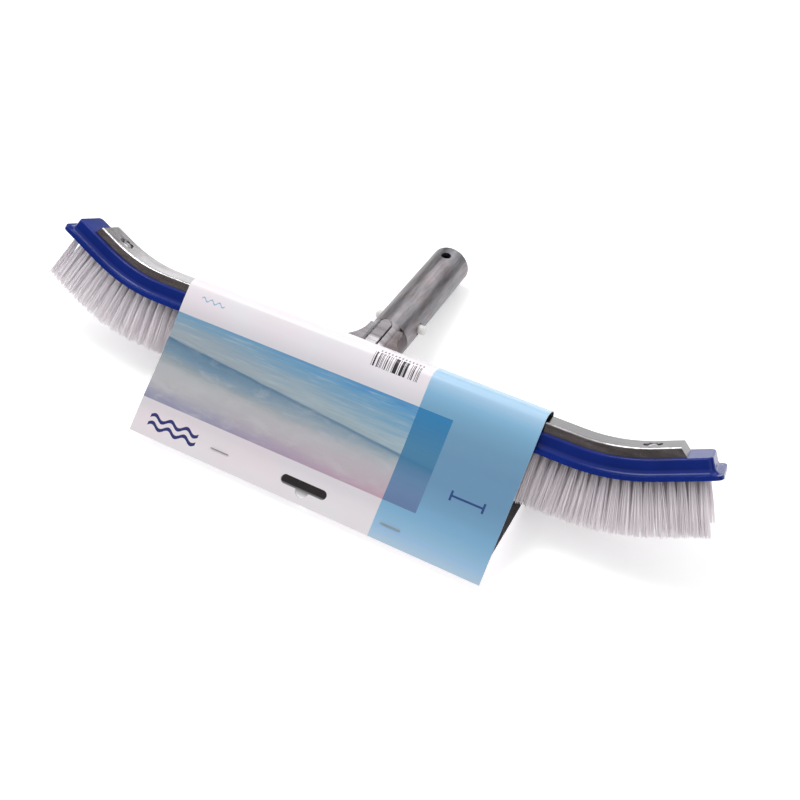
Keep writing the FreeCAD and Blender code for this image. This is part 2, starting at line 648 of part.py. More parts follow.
play = D["slot_play"]
fw, rw = D["flare_half"] + play, D["handle_dia"] / 2 + play
neck_slot = Part.makeBox(2 * fw, 60, 40, V(-fw, 1.6, 8.0)).fuse(Part.makeBox(2 * rw, 60, 40, V(-rw, 10.0, -13.0)))
sh, sl, sx, su = D["slot_height"] / 2, D["slot_length"] / 2, D["slot_x"], D["slot_up"]
hang = flap_prism([(sx - sl + sh, su - sh), (sx + sl - sh, su - sh), (sx + sl - sh, su + sh), (sx - sl + sh, su + sh)])
hang = hang.fuse([flap_rod(sx - sl + sh, su, sh), flap_rod(sx + sl - sh, su, sh),
                  flap_rod(sx, su - sh + 0.6, D["slot_bump"])])
leg = D["staple_width"] / 2 - D["staple_wire"] / 2
hw = D["staple_wire"] / 2 + 0.1
leg_holes = []
for xc in (D["staple_left_x"], D["staple_right_x"]):
    for sgn in (-1, 1):
        x, u = xc + sgn * leg, D["staple_up"]
        leg_holes.append(flap_prism([(x - hw, u - hw), (x + hw, u - hw), (x + hw, u + hw), (x - hw, u + hw)]))
cutters = doc.addObject("Part::Feature", "SleeveCutouts")
cutters.Shape = Part.makeCompound([neck_slot, hang] + leg_holes)
sleeve = doc.addObject("Part::Cut", "card_sleeve")
sleeve.Base, sleeve.Tool = sleeve_body, cutters
sleeve.Label = "card_sleeve"
doc.recompute()
print("sleeve", round(sleeve.Shape.Volume), "solids", len(sleeve.Shape.Solids), sleeve.Shape.isValid())


def flap_box(x0, x1, u0, u1, d0, d1):
    return flap_prism([(x0, u0), (x1, u0), (x1, u1), (x0, u1)], d0, d1)


staples = []
for name, xc in (("staple_left", D["staple_left_x"]), ("staple_right", D["staple_right_x"])):
    w, hwid, u = D["staple_wire"] / 2, D["staple_width"] / 2, D["staple_up"]
    front0, front1 = -th / 2 - 0.02 - 0.5, -th / 2 - 0.02
    back_0, back_1 = back_gap + th / 2 + 0.02, back_gap + th / 2 + 0.52
    crown_bar = flap_box(xc - hwid, xc + hwid, u - w, u + w, front0, front1)
    parts = []
    for sgn in (-1, 1):
        xo, xi = xc + sgn * hwid, xc + sgn * (hwid - 2 * w)
        parts.append(flap_box(min(xo, xi), max(xo, xi), u - w, u + w, front0, back_1))
        xe = xc + sgn * 1.4
        parts.append(flap_box(min(xo, xe), max(xo, xe), u - w, u + w, back_0, back_1))
    o = doc.addObject("Part::Feature", name)
    o.Shape = crown_bar.fuse(parts).removeSplitter().Solids[0]
    o.Label = name
    staples.append(o)

# ------------------------------------------------------- lying placement, exports
# Each entry: object and its own place in the brush frame.
none = FreeCAD.Placement()
nodes = [(block, none), (casting, none), (handle, none), (plug_body, HP)]
nodes += rivets
nodes += [(clip_bend, HP), (arm_left, HP), (arm_right, HP)]
nodes += [(o, none) for o in tuft_nodes]
nodes += [(sleeve, none)] + [(o, none) for o in staples]

lie = FreeCAD.Placement(V(0, 0, 0), FreeCAD.Rotation(V(1, 0, 0), -D["lying_deg"]))


def place_all(move):
    for o, own in nodes:
        o.Placement = move.multiply(lie).multiply(own)
    doc.recompute()


place_all(none)


def bounds():
    box = FreeCAD.BoundBox()
    for o, _ in nodes:
        box.add(o.Shape.optimalBoundingBox(False, False))
    return box


low = {o.Label: round(o.Shape.optimalBoundingBox(False, False).ZMin, 3) for o, _ in nodes
       if o.Label in ("card_sleeve", "handle_tube")}
print("lowest", low)
box = bounds()
shift = V(-(box.XMin + box.XMax) / 2, -(box.YMin + box.YMax) / 2, -box.ZMin)
print("shift", shift, "size", round(box.XLength, 2), round(box.YLength, 2), round(box.ZLength, 2))
place_all(FreeCAD.Placement(shift, FreeCAD.Rotation()))

bad = [o.Name for o in doc.Objects if "Invalid" in o.State or "Error" in o.State]
if bad:
    raise RuntimeError("failed objects: " + ", ".join(bad))
for o, _ in nodes:
    if o.Shape.isNull() or not o.Shape.isValid() or not o.Shape.Solids:
        raise RuntimeError("bad shape: " + o.Label)
    if len(o.Shape.Solids) != 1 and not o.Label.startswith(("tufts_", "anchors_")):
        raise RuntimeError("not one solid: " + o.Label)

os.makedirs("parts", exist_ok=True)
for o, _ in nodes:
    o.Shape.exportStep(os.path.join("parts", o.Label + ".step"))
print(len(nodes), "nodes written")
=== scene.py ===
import bpy
import bmesh
import json
import math
import numpy as np
from mathutils import Matrix, Vector

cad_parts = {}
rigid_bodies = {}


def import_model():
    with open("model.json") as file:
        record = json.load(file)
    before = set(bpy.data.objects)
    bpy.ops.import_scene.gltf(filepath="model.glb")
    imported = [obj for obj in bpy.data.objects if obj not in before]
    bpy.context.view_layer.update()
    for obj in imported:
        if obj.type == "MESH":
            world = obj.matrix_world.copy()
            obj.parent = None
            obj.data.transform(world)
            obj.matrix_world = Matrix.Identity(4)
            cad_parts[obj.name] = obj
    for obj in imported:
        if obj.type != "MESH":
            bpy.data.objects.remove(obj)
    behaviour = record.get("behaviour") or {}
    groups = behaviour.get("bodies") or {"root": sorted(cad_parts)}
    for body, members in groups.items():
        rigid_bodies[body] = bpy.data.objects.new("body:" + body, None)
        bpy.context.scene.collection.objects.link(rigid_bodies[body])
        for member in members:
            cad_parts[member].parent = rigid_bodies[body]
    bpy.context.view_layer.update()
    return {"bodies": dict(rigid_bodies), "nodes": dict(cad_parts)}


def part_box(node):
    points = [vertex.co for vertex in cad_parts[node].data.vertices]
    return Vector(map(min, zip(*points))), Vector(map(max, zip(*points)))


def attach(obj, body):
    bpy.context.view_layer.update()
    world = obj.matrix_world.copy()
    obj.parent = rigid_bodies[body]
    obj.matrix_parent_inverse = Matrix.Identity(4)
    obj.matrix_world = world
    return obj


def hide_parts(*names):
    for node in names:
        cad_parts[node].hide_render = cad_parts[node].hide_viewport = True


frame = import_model()
bodies = frame["bodies"]
nodes = frame["nodes"]
scene = bpy.context.scene

# ------------------------------------------------------------------ brush frame
# Brush frame in millimetres: X along the brush, Y towards the handle side, Z from
# the tuft tips towards the back.  row() turns it into the row frame, in metres.
LIE = math.radians(37.0)
CL, SL = math.cos(LIE), math.sin(LIE)
# Row-frame place of the brush frame's origin, found from the block's own box.
b_lo, b_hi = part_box("brush_block")
A_, R_, PHI, S_END = 143.0, 122.0, math.radians(24.0), 229.56


def on_path(s, h=0.0, y=0.0):
    q = abs(s)
    if q <= A_:
        x, z, th = q, 0.0, 0.0
    elif q <= A_ + R_ * PHI:
        th = (q - A_) / R_
        x, z = A_ + R_ * math.sin(th), R_ * (1 - math.cos(th))
    else:
        th = PHI
        r = q - A_ - R_ * PHI
        x, z = A_ + R_ * math.sin(PHI) + r * math.cos(PHI), R_ * (1 - math.cos(PHI)) + r * math.sin(PHI)
    x, z = x - h * math.sin(th), z + h * math.cos(th)
    return (math.copysign(x, s) if s else 0.0, y, z)


def lean(s):
    q = min(max(abs(s) - A_, 0.0) / R_, PHI)
    return math.copysign(q, s) if s else 0.0


def raw(p):
    return np.array([p[0], p[1] * CL + p[2] * SL, -p[1] * SL + p[2] * CL]) / 1000.0


# The block fixes the shift: the block's lowest point along the floor normal is the lip's back edge in the straight
# middle, at y = 15.5, z = 0.
SHIFT = np.array([0.0, 0.0, b_lo.z - raw((0, 15.5, 0))[2]])
SHIFT[1] = b_lo.y - raw((0, -15.5, 0))[1]


def row(p):
    return raw(p) + SHIFT


def rows(pts):
    pts = np.asarray(pts, float)
    out = np.empty_like(pts)
    out[:, 0] = pts[:, 0]
    out[:, 1] = pts[:, 1] * CL + pts[:, 2] * SL
    out[:, 2] = -pts[:, 1] * SL + pts[:, 2] * CL
    return out / 1000.0 + SHIFT


# ------------------------------------------------------------------------ camera
cam_data = bpy.data.cameras.new("camera")
cam = bpy.data.objects.new("camera", cam_data)
scene.collection.objects.link(cam)
cam_data.sensor_width = 36.0
cam_data.lens = 44.804
cam_data.clip_start = 0.01
cam_data.clip_end = 50.0
cam.matrix_world = Matrix((
    (0.888454, -0.3545, 0.291511, 0.210899),
    (0.45882, 0.701955, -0.544742, -0.36624),
    (-0.011517, 0.617729, 0.786307, 0.516423),
    (0, 0, 0, 1)))
scene.camera = cam
scene.view_settings.view_transform = "Standard"


# ------------------------------------------------------------------ node helpers
def lin(r, g, b):
    def f(c):
        c = c / 255.0
        return c / 12.92 if c <= 0.04045 else ((c + 0.055) / 1.055) ** 2.4
    return (f(r), f(g), f(b), 1.0)


class Mat:
    """A material with short helpers for building its nodes."""

    def __init__(self, name):
        self.m = bpy.data.materials.new(name)
        self.m.use_nodes = True
        self.nt = self.m.node_tree
        self.nt.nodes.clear()
        self.out = self.nt.nodes.new("ShaderNodeOutputMaterial")
        self.bsdf = self.nt.nodes.new("ShaderNodeBsdfPrincipled")
        self.nt.links.new(self.bsdf.outputs[0], self.out.inputs[0])

    def set(self, **kw):
        for k, v in kw.items():
            self.bsdf.inputs[k.replace("_", " ")].default_value = v

    def put(self, sock, value):
        if isinstance(value, bpy.types.NodeSocket):
            self.nt.links.new(value, sock)
        else:
            sock.default_value = value

    def math(self, op, a, b=0.0, c=None, clamp=False):
        n = self.nt.nodes.new("ShaderNodeMath")
        n.operation = op
        n.use_clamp = clamp
        self.put(n.inputs[0], a)
        self.put(n.inputs[1], b)
        if c is not None:
            self.put(n.inputs[2], c)
        return n.outputs[0]

    def mix(self, fac, a, b, mode="MIX"):
        n = self.nt.nodes.new("ShaderNodeMix")
        n.data_type = "RGBA"
        n.blend_type = mode
        self.put(n.inputs[0], fac)
        self.put(n.inputs[6], a)
        self.put(n.inputs[7], b)
        return n.outputs[2]

    def ramp(self, fac, stops, interp="LINEAR"):
        n = self.nt.nodes.new("ShaderNodeValToRGB")
        n.color_ramp.interpolation = interp
        el = n.color_ramp.elements
        while len(el) < len(stops):
            el.new(0.5)
        for e, (p, c) in zip(el, stops):
            e.position = p
            e.color = c
        self.put(n.inputs[0], fac)
        return n.outputs[0]

    def coords(self, kind="Object"):
        return self.nt.nodes.new("ShaderNodeTexCoord").outputs[kind]

    def mapping(self, vec, scale=(1, 1, 1), loc=(0, 0, 0), rot=(0, 0, 0)):
        n = self.nt.nodes.new("ShaderNodeMapping")
        self.put(n.inputs["Vector"], vec)
        n.inputs["Scale"].default_value = scale
        n.inputs["Location"].default_value = loc
        n.inputs["Rotation"].default_value = rot
        return n.outputs[0]

    def noise(self, vec, scale, detail=3.0, rough=0.5, dist=0.0):
        n = self.nt.nodes.new("ShaderNodeTexNoise")
        self.put(n.inputs["Vector"], vec)
        n.inputs["Scale"].default_value = scale
        n.inputs["Detail"].default_value = detail
        n.inputs["Roughness"].default_value = rough
        n.inputs["Distortion"].default_value = dist
        return n.outputs[0]

    def attr(self, name):
        n = self.nt.nodes.new("ShaderNodeAttribute")
        n.attribute_name = name
        return n

    def split(self, vec):
        n = self.nt.nodes.new("ShaderNodeSeparateXYZ")
        self.put(n.inputs[0], vec)
        return n.outputs

    def dot(self, vec, with_):
        n = self.nt.nodes.new("ShaderNodeVectorMath")
        n.operation = "DOT_PRODUCT"
        self.put(n.inputs[0], vec)
        n.inputs[1].default_value = with_
        return n.outputs["Value"]

    def bump(self, height, strength=0.2, distance=0.0005):
        n = self.nt.nodes.new("ShaderNodeBump")
        n.inputs["Strength"].default_value = strength
        n.inputs["Distance"].default_value = distance
        self.put(n.inputs["Height"], height)
        self.nt.links.new(n.outputs[0], self.bsdf.inputs["Normal"])
        return n.outputs[0]

    def span(self, value, lo, hi):
        """1 between lo and hi, 0 outside."""
        a = self.math("GREATER_THAN", value, lo)
        b = self.math("LESS_THAN", value, hi)
        return self.math("MULTIPLY", a, b)


def assign(obj, mat):
    obj.data.materials.clear()
    obj.data.materials.append(mat)
    if obj.data.polygons:
        obj.data.polygons.foreach_set("material_index", [0] * len(obj.data.polygons))


# -------------------------------------------------------------------- materials
def blue_plastic():
    m = Mat("block_blue_gloss")
    oc = m.coords()
    n1 = m.noise(oc, 45.0, 4.0)
    col = m.ramp(n1, [(0.3, lin(12, 37, 117)), (0.7, lin(19, 46, 136))])
    m.put(m.bsdf.inputs["Base Color"], col)
    n2 = m.noise(oc, 70.0, 2.0)
    m.put(m.bsdf.inputs["Roughness"], m.math("MULTIPLY_ADD", n2, 0.1, 0.15))
    m.set(IOR=1.45, Specular_IOR_Level=0.3)
    low = m.noise(m.mapping(oc, (0.6, 1, 1)), 60.0, 1.0)
    m.bump(low, 0.05, 0.0006)
    return m.m


def cast_metal(name, dark, light, rough0, rough1, turn, run, warm=0.0, neck=False):
    """Polished casting: turn lays its own long direction along an axis, run squeezes the
    grain along it."""
    m = Mat(name)
    oc = m.coords()
    lay = m.mapping(oc, (1, 1, 1), (0, 0, 0), (turn, 0, 0))
    streak = m.noise(m.mapping(lay, run), 420.0, 4.0, 0.62)
    broad = m.noise(m.mapping(lay, tuple(math.sqrt(c) for c in run)), 70.0, 4.0, 0.6, 0.4)
    both = m.math("MULTIPLY_ADD", streak, 0.55, m.math("MULTIPLY", broad, 0.45))
    col = m.ramp(both, [(0.36, lin(*dark)), (0.62, lin(*light))])
    if warm:
        tint = m.ramp(m.noise(oc, 48.0, 2.0), [(0.42, lin(255, 255, 255)), (0.66, lin(255, 226, 218))])
        col = m.mix(warm, col, tint, "MULTIPLY")
    rough = m.math("MULTIPLY_ADD", streak, rough1 - rough0, rough0)
    if neck:
        # duller, darker skin on the neck
        lx, ly, _ = m.split(lay)
        on_neck = m.math("MULTIPLY_ADD", ly, 400.0, 400.0 * 0.04574 - 4.3, clamp=True)
        col = m.mix(m.math("MULTIPLY", on_neck, 0.9), col, m.mix(1.0, col, lin(184, 182, 185), "MULTIPLY"))
        brown = m.math("MULTIPLY", on_neck, m.math("MULTIPLY_ADD", lx, 150.0, -0.6, clamp=True))
        col = m.mix(m.math("MULTIPLY", brown, 0.8), col, m.mix(1.0, col, lin(172, 155, 151), "MULTIPLY"))
        rough = m.math("MULTIPLY_ADD", on_neck, 0.06, rough)
        # the linished top, the as-cast front side and the arris between them, which carries a painted highlight
        front = m.dot(m.coords("Normal"), (0.0, CL, -SL))
        top = m.math("MULTIPLY_ADD", front, 4.0, 1.0, clamp=True)
        side = m.math("MULTIPLY_ADD", front, -8.0, -6.8, clamp=True)
        arris = m.math("SUBTRACT", m.math("SUBTRACT", 1.0, top), side, clamp=True)
        # painted shade: the linished top is darkened in a slow fall in tone along the bar towards +X
        top_shade = m.math("MULTIPLY", m.math("MULTIPLY_ADD", lx, 2.2, 0.5, clamp=True), top)
        col = m.mix(top_shade, col, m.mix(1.0, col, lin(110, 109, 113), "MULTIPLY"))
        col = m.mix(side, col, m.mix(1.0, col, lin(216, 205, 202), "MULTIPLY"))
        col = m.mix(m.ramp(m.noise(lay, 260.0, 3.0), [(0.5, (0, 0, 0, 1)), (0.75, (0.3, 0.3, 0.3, 1))]), col, lin(120, 100, 94))
        # painted highlight: the arris is coloured near-white on the two arms, broken up and fading towards +X
        arms = m.math("MULTIPLY_ADD", m.math("ABSOLUTE", lx), 100.0, -5.0, clamp=True)
        highlight_breaks = m.ramp(m.noise(m.mapping(lay, (0.3, 1, 1)), 330.0, 3.0), [(0.42, (0.2, 0.2, 0.2, 1)), (0.56, (1, 1, 1, 1))])
        highlight_breaks = m.math("MAXIMUM", highlight_breaks, m.math("MULTIPLY_ADD", lx, -12.0, 0.4, clamp=True))
        keep = m.math("MULTIPLY_ADD", lx, -1.6, 0.75, clamp=True)
        arris_highlight = m.math("MULTIPLY", m.math("MULTIPLY", arris, arms), m.math("MULTIPLY", highlight_breaks, keep))
        col = m.mix(arris_highlight, col, lin(240, 238, 240))
    m.put(m.bsdf.inputs["Base Color"], col)
    m.set(Metallic=1.0)
    m.put(m.bsdf.inputs["Roughness"], rough)
    wav = m.noise(m.mapping(lay, tuple(math.sqrt(c) for c in run)), 150.0, 3.0, 0.5)
    m.bump(m.math("MULTIPLY_ADD", streak, 0.15, wav), 0.16, 0.0005)
    return m.m


def nylon():
    m = Mat("nylon_filament")
    tint = m.attr("tint").outputs["Fac"]
    along = m.attr("along").outputs["Fac"]
    col = m.ramp(tint, [(0.0, lin(238, 236, 238)), (0.5, lin(247, 245, 247)), (1.0, lin(255, 254, 255))])
    # painted shade: filaments are darker towards their roots, which lie in shade under the block's lip
    painted_root_shade = m.ramp(along, [(0.0, lin(168, 162, 164)), (0.1, lin(196, 190, 193)), (0.25, lin(222, 216, 219)),
                           (0.5, lin(238, 232, 235)), (1.0, lin(246, 241, 243))])
    # painted light: at the left (-X) end the roots are kept lighter, as if lit from that side
    clear = m.ramp(along, [(0.0, lin(236, 232, 235)), (0.12, lin(226, 222, 226)), (0.3, lin(236, 232, 236)),
                           (1.0, lin(250, 246, 248))])
    ox, _, _ = m.split(m.coords())
    left = m.math("MULTIPLY_ADD", ox, -9.0, -0.9, clamp=True)
    painted_root_shade = m.mix(left, painted_root_shade, clear)
    m.put(m.bsdf.inputs["Base Color"], m.mix(1.0, col, painted_root_shade, "MULTIPLY"))
    rough = m.math("MULTIPLY_ADD", tint, -0.08, 0.36)
    m.put(m.bsdf.inputs["Roughness"], rough)
    # painted glow: a faint emission, stronger towards the tips, stands in for light carried through the clear
    # filaments
    m.set(IOR=1.53, Specular_IOR_Level=0.5, Emission_Color=(1.0, 0.975, 0.99, 1.0))
    m.put(m.bsdf.inputs["Emission Strength"], m.math("MULTIPLY_ADD", along, 0.035, 0.012))
    return m.m


def clip_plastic():
    m = Mat("clip_white_plastic")
    oc = m.coords()
    n1 = m.noise(oc, 300.0, 3.0)
    m.put(m.bsdf.inputs["Base Color"], m.ramp(n1, [(0.3, lin(222, 222, 218)), (0.7, lin(240, 240, 238))]))
    m.put(m.bsdf.inputs["Roughness"], m.math("MULTIPLY_ADD", n1, 0.15, 0.3))
    m.set(Subsurface_Weight=0.08)
    m.bump(n1, 0.08, 0.0003)
    return m.m


def steel():
    m = Mat("staple_bright_wire")
    oc = m.coords()
    n1 = m.noise(m.mapping(oc, (0.1, 1, 1)), 3000.0, 2.0)
    m.put(m.bsdf.inputs["Base Color"], m.ramp(n1, [(0.2, lin(150, 148, 146)), (0.8, lin(196, 195, 194))]))
    m.put(m.bsdf.inputs["Roughness"], m.math("MULTIPLY_ADD", n1, 0.2, 0.22))
    m.set(Metallic=1.0)
    return m.m


def card_print():
    """The sleeve's printed face.  The card attribute holds, in millimetres, the place along
    the brush and the distance round the card from its front lower edge."""
    m = Mat("card_printed")
    x, v, _ = m.split(m.attr("card").outputs["Vector"])
    flat = m.nt.nodes.new("ShaderNodeCombineXYZ")
    m.put(flat.inputs[0], x)
    m.put(flat.inputs[1], v)
    fv = flat.outputs[0]
    vt = m.math("DIVIDE", v, 120.0)

    def over_v(stops):
        return m.ramp(vt, [(a / 120.0, lin(*c)) for a, c in stops])

    # paper white with a faint warm cast in soft clouds; its tone over v is painted shade and light, darker across
    # the middle of the front panel and lighter at the lower edge, the lip and the fold top
    cloud = m.noise(fv, 0.022, 2.0)
    white = over_v([(0, (238, 235, 236)), (8, (240, 235, 237)), (14, (236, 231, 233)), (20, (226, 222, 225)),
                    (80, (220, 219, 223)), (85, (226, 224, 228)), (93, (243, 239, 243)), (104, (253, 249, 251)),
                    (120, (253, 250, 252))])
    white = m.mix(1.0, white, m.ramp(cloud, [(0.35, lin(252, 253, 255)), (0.65, lin(255, 249, 252))]), "MULTIPLY")
    # picture band: water above a leaning horizon, an even sky below it
    hor = m.math("MULTIPLY_ADD", x, -0.0745, 55.0)
    hor = m.math("MULTIPLY_ADD", m.noise(m.mapping(fv, (0.05, 0.02, 1)), 1.0, 2.0), 1.2, hor)
    d_up = m.math("SUBTRACT", v, hor)
    t_up = m.math("DIVIDE", d_up, m.math("SUBTRACT", 82.5, hor), clamp=True)
    ripple = m.noise(m.mapping(fv, (0.022, 0.34, 1), (0, 0, 0), (0, 0, 0.05)), 1.0, 6.0, 0.66, 0.7)
    t_w = m.math("ADD", t_up, m.math("MULTIPLY_ADD", ripple, 0.9, -0.45), clamp=True)
    side = m.math("MULTIPLY_ADD", x, 0.0075, 0.62, clamp=True)
    water_l = m.ramp(t_w, [(0.0, lin(150, 165, 174)), (0.2, lin(163, 174, 181)), (0.45, lin(150, 168, 181)),
                           (0.72, lin(130, 163, 186)), (0.9, lin(116, 160, 191)), (1.0, lin(106, 156, 194))])
    water_r = m.ramp(t_w, [(0.0, lin(158, 178, 188)), (0.2, lin(166, 188, 198)), (0.45, lin(134, 172, 196)),
                           (0.7, lin(108, 163, 199)), (0.88, lin(90, 156, 203)), (1.0, lin(76, 146, 200))])
    water = m.mix(side, water_l, water_r)
    glint = m.noise(m.mapping(fv, (0.035, 0.62, 1), (4.0, 9.0, 0)), 1.0, 5.0, 0.6, 0.4)
    water = m.mix(m.ramp(glint, [(0.54, (0, 0, 0, 1)), (0.72, (0.5, 0.5, 0.5, 1))]), water, lin(190, 208, 218))
    water = m.mix(m.ramp(glint, [(0.26, (0.45, 0.45, 0.45, 1)), (0.42, (0, 0, 0, 1))]), water, lin(72, 128, 168))
    t_dn = m.math("DIVIDE", m.math("SUBTRACT", v, 23.4), m.math("SUBTRACT", hor, 23.4), clamp=True)
    haze = m.noise(m.mapping(fv, (0.014, 0.10, 1)), 1.0, 5.0, 0.6)
    puff = m.noise(m.mapping(fv, (0.05, 0.13, 1), (3.0, 7.0, 0)), 1.0, 4.0, 0.62, 0.5)
    t_s = m.math("ADD", t_dn, m.math("MULTIPLY_ADD", haze, 0.34, -0.17))
    t_s = m.math("ADD", t_s, m.math("MULTIPLY_ADD", puff, 0.22, -0.11), clamp=True)
    sky_l = m.ramp(t_s, [(0.0, lin(146, 147, 172)), (0.1, lin(158, 157, 180)), (0.22, lin(178, 177, 185)),
                         (0.4, lin(186, 186, 189)), (0.52, lin(182, 185, 188)), (0.66, lin(146, 160, 167)),
                         (0.8, lin(118, 147, 170)), (0.95, lin(98, 132, 157)), (1.0, lin(94, 129, 157))])
    sky_r = m.ramp(t_s, [(0.0, lin(194, 160, 177)), (0.1, lin(195, 168, 182)), (0.3, lin(192, 179, 187)),
                         (0.52, lin(190, 184, 191)), (0.72, lin(180, 185, 190)), (0.87, lin(148, 166, 178)),
                         (1.0, lin(110, 142, 165))])
    sky = m.mix(side, sky_l, sky_r)
    sky = m.mix(m.ramp(puff, [(0.5, (0, 0, 0, 1)), (0.7, (0.35, 0.35, 0.35, 1))]), sky, lin(206, 204, 210))
    picture = m.mix(m.math("GREATER_THAN", d_up, 0.0), sky, water)
    line = m.math("SUBTRACT", 1.0, m.math("DIVIDE", m.math("ABSOLUTE", m.math("SUBTRACT", d_up, -0.6)), 1.5), clamp=True)
    picture = m.mix(m.math("MULTIPLY", line, 0.5), picture, lin(66, 112, 146))
    band = m.math("MULTIPLY", m.span(v, 23.4, 82.2), m.math("LESS_THAN", x, 72.6))
    colour = m.mix(band, white, picture)
    # pale blue panel, printed over the picture's end; its tone over v is painted shade and light, darker across
    # the middle and lighter at the lower edge and towards the fold
    blue = m.math("GREATER_THAN", x, m.math("MULTIPLY_ADD", v, -0.004, 50.6))
    pale = over_v([(0, (184, 209, 228)), (8, (157, 196, 229)), (14, (143, 189, 219)), (20, (130, 179, 213)),
                   (26, (124, 173, 208)), (32, (115, 162, 197)), (44, (107, 152, 187)), (62, (107, 152, 187)),
                   (74, (111, 158, 190)), (80, (117, 165, 198)), (86, (123, 174, 207)), (93, (138, 190, 224)),
                   (101, (176, 214, 243)), (112, (184, 219, 244)), (120, (182, 216, 240))])
    under = over_v([(23, (100, 128, 170)), (32, (105, 134, 174)), (40, (99, 137, 175)), (46, (84, 130, 168)),
                    (50, (62, 126, 165)), (58, (66, 131, 168)), (66, (58, 130, 172)), (74, (46, 131, 178)),
                    (82, (36, 134, 184))])
    under = m.mix(0.22, under, m.mix(1.0, picture, lin(120, 178, 226), "MULTIPLY"))
    colour = m.mix(blue, colour, m.mix(band, pale, under))
    # bar pattern near the fold
    cell = m.math("FLOOR", m.math("DIVIDE", x, 0.36))
    wn = m.nt.nodes.new("ShaderNodeTexWhiteNoise")
    wn.noise_dimensions = "1D"
    m.put(wn.inputs["W"], cell)
    ink = m.math("GREATER_THAN", wn.outputs[0], 0.5)
    zone = m.math("MULTIPLY", m.span(x, 11.6, 43.4), m.span(v, 95.0, 104.6))
    colour = m.mix(m.math("MULTIPLY", ink, zone), colour, lin(34, 30, 36))
    # a row of small marks above the bars
    tick = m.math("LESS_THAN", m.math("FRACT", m.math("DIVIDE", x, 2.35)), 0.42)
    zone = m.math("MULTIPLY", m.span(x, 13.0, 44.5), m.span(v, 105.6, 107.2))
    colour = m.mix(m.math("MULTIPLY", m.math("MULTIPLY", tick, zone), 0.75), colour, lin(60, 56, 62))
    # plain navy wave mark in the corner
    def waves(x0, x1, v0, amp, wl, half, col, k):
        ph = m.math("MULTIPLY", m.math("SUBTRACT", x, x0), 2 * math.pi / wl)
        cy = m.math("MULTIPLY_ADD", m.math("SINE", ph), amp, v0)
        on = m.math("LESS_THAN", m.math("ABSOLUTE", m.math("SUBTRACT", v, cy)), half)
        on = m.math("MULTIPLY", on, m.span(x, x0, x1))
        return m.mix(m.math("MULTIPLY", on, k), colour, col)
    navy = lin(34, 44, 112)
    colour = waves(-112.5, -76.0, 13.6, 1.5, 12.2, 1.15, navy, 1.0)
    colour = waves(-112.5, -76.0, 8.4, 1.5, 12.2, 1.15, navy, 1.0)
    colour = waves(-111.0, -93.6, 95.4, 1.1, 5.8, 0.42, lin(120, 178, 214), 0.9)
    # plain length mark on the blue panel: a bar with two end ticks
    bar = m.math("MULTIPLY", m.span(x, 87.5, 109.5), m.span(v, 40.6, 41.9))
    ends = m.math("MULTIPLY", m.math("ADD", m.span(x, 87.5, 88.9), m.span(x, 108.1, 109.5)), m.span(v, 38.2, 44.3))
    colour = m.mix(m.math("MAXIMUM", bar, ends), colour, lin(28, 66, 128))
    # back face of the sleeve: blank white past the fold
    back = m.math("GREATER_THAN", v, 118.0)
    colour = m.mix(back, colour, white)
    grain = m.noise(fv, 3.0, 4.0)
    colour = m.mix(0.04, colour, m.ramp(grain, [(0.3, lin(200, 200, 200)), (0.7, lin(255, 255, 255))]), "MULTIPLY")
    m.put(m.bsdf.inputs["Base Color"], colour)
    m.put(m.bsdf.inputs["Roughness"], m.math("MULTIPLY_ADD", grain, 0.12, 0.3))
    m.set(Specular_IOR_Level=0.45, Coat_Weight=0.15, Coat_Roughness=0.2)
    dent = m.noise(fv, 0.05, 2.0)
    m.bump(m.math("MULTIPLY_ADD", grain, 0.03, dent), 0.25, 0.0012)
    return m.m


def card_plain(name, c0, c1, rough):
    m = Mat(name)
    v = m.attr("card").outputs["Vector"]
    n1 = m.noise(v, 1.4, 4.0)
    m.put(m.bsdf.inputs["Base Color"], m.ramp(n1, [(0.3, lin(*c0)), (0.7, lin(*c1))]))
    m.put(m.bsdf.inputs["Roughness"], m.math("MULTIPLY_ADD", n1, 0.1, rough))
    m.bump(n1, 0.1, 0.0003)
    return m.m


# painted shade: a near-black plug in the handle's bore, coloured so that the end hole reads dark
def plug_painted_shade():
    m = Mat("plug_dark_painted_shade")
    n1 = m.noise(m.coords(), 240.0, 3.0)
    m.put(m.bsdf.inputs["Base Color"], m.ramp(n1, [(0.3, lin(24, 24, 26)), (0.7, lin(42, 42, 45))]))
    m.put(m.bsdf.inputs["Roughness"], m.math("MULTIPLY_ADD", n1, 0.2, 0.4))
    m.bump(n1, 0.1, 0.0003)
    return m.m


M_BLUE = blue_plastic()
M_CAST = cast_metal("back_polished_casting", (140, 137, 139), (192, 190, 192), 0.12, 0.26, LIE, (0.07, 1.0, 0.5), neck=True)
M_TUBE = cast_metal("handle_drawn_casting", (111, 110, 114), (158, 157, 161), 0.36, 0.5, math.radians(10), (1.0, 0.12, 1.0), 0.4)
M_RIVET = cast_metal("rivet_formed_metal", (150, 148, 150), (205, 203, 204), 0.2, 0.34, LIE, (1.0, 1.0, 1.0))
M_NYLON = nylon()
M_CLIP = clip_plastic()
M_STEEL = steel()
M_PLUG = plug_painted_shade()
M_PRINT = card_print()
# painted shade: the card's inside is coloured dark grey, standing for the shadow inside the sleeve
M_INSIDE = card_plain("card_inside_painted_shade", (84, 84, 88), (104, 104, 108), 0.6)
M_EDGE = card_plain("card_edge", (205, 205, 205), (228, 228, 228), 0.7)

# ------------------------------------------------------------------- CAD pieces
for name, ob in nodes.items():
    if name == "brush_block":
        assign(ob, M_BLUE)
    elif name == "back_casting":
        assign(ob, M_CAST)
    elif name == "handle_tube":
        assign(ob, M_TUBE)
    elif name == "handle_plug":
        assign(ob, M_PLUG)
    elif name.startswith("rivet_"):
        assign(ob, M_RIVET)
    elif name.startswith("clip_"):
        assign(ob, M_CLIP)
    elif name.startswith(("staple_", "anchors_")):
        assign(ob, M_STEEL)
    elif name.startswith("tufts_"):
        assign(ob, M_NYLON)


